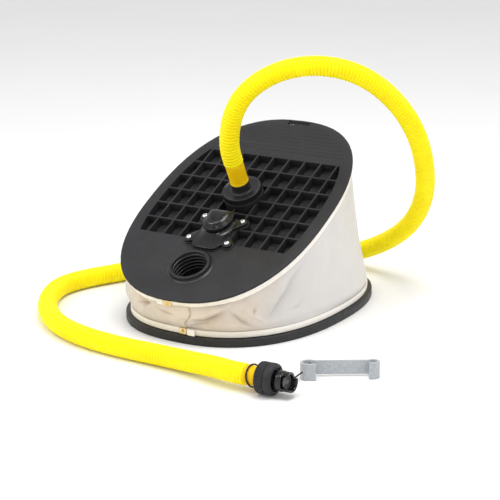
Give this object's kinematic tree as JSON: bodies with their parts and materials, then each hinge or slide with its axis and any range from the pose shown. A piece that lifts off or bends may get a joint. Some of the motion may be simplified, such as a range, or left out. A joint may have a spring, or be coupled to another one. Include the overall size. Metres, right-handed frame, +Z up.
{
  "type": "foot air pump",
  "caption": "Foot-operated bellows pump with an oval treadle, inflation and deflation ports, a corrugated hose with a bayonet nozzle, and a storage clip.",
  "frame": {"origin": "middle of the base plate's underside, on the floor", "axes": "+X across the pump to the right, +Y from the low toe end to the high heel end, +Z up from the floor"},
  "size_m": [0.4167, 0.4206, 0.273],
  "materials": {
    "black_plate": "grained black moulded plastic",
    "black_gloss": "glossy black moulded plastic",
    "black_collar": "satin black moulded plastic",
    "rubber": "black rubber",
    "fabric": "off-white coated fabric",
    "strap": "off-white strap",
    "crimp": "gold-coloured crimp",
    "chrome": "bright plated steel",
    "spring_steel": "zinc-plated spring wire",
    "hose_yellow": "bright yellow corrugated plastic",
    "cuff_yellow": "darker yellow soft plastic cuff",
    "clip_grey": "light grey moulded plastic",
    "cord_black": "black braided cord"
  },
  "bodies": {
    "base": {"base_plate": "black_plate", "base_band": "strap", "base_band_crimp": "crimp", "base_band_keeper": "strap", "bellows": "fabric", "return_spring": "spring_steel", "hose": "hose_yellow", "nozzle_cuff": "cuff_yellow", "lanyard": "cord_black", "lanyard_knot": "cord_black", "storage_clip": "clip_grey"},
    "treadle": {"top_plate": "black_plate", "top_band": "strap", "top_band_crimp": "crimp", "top_band_keeper": "strap", "valve_cover": "black_gloss", "cover_gasket": "rubber", "cover_screws": "chrome", "collar_seal": "rubber", "collar_cuff": "cuff_yellow"},
    "inlet_valve": {"inlet_valve": "rubber"},
    "outlet_valve": {"outlet_valve": "rubber"},
    "collar": {"hose_collar": "black_collar"},
    "nozzle": {"ring_nut": "black_collar", "nozzle_body": "black_gloss", "nozzle_core": "black_gloss", "nozzle_seal": "rubber"}
  },
  "joints": [
    {"name": "treadle_tilt", "type": "hinge", "parent": "base", "child": "treadle", "pos_m": [0, -0.146, 0.0275], "axis": [-1, 0, 0], "range_deg": [0, 24], "stiffness_Nm_per_rad": 25, "springref_deg": -11.46, "deforming": ["bellows", "return_spring", "hose"]},
    {"name": "inlet_valve_lift", "type": "slide", "parent": "treadle", "child": "inlet_valve", "axis": [0, 0.4509, -0.8926], "range_m": [0, 0.003], "stiffness_N_per_m": 20, "springref_m": -0.002},
    {"name": "outlet_valve_lift", "type": "slide", "parent": "treadle", "child": "outlet_valve", "axis": [0, -0.4509, 0.8926], "range_m": [0, 0.003], "stiffness_N_per_m": 20, "springref_m": -0.001},
    {"name": "collar_turn", "type": "hinge", "parent": "treadle", "child": "collar", "pos_m": [0, -0.01512, 0.119], "axis": [0, -0.4509, 0.8926], "continuous": true},
    {"name": "nozzle_swivel", "type": "hinge", "parent": "base", "child": "nozzle", "pos_m": [0.145, -0.2215, 0.015], "axis": [0.9981, 0.061, 0], "continuous": true}
  ]
}
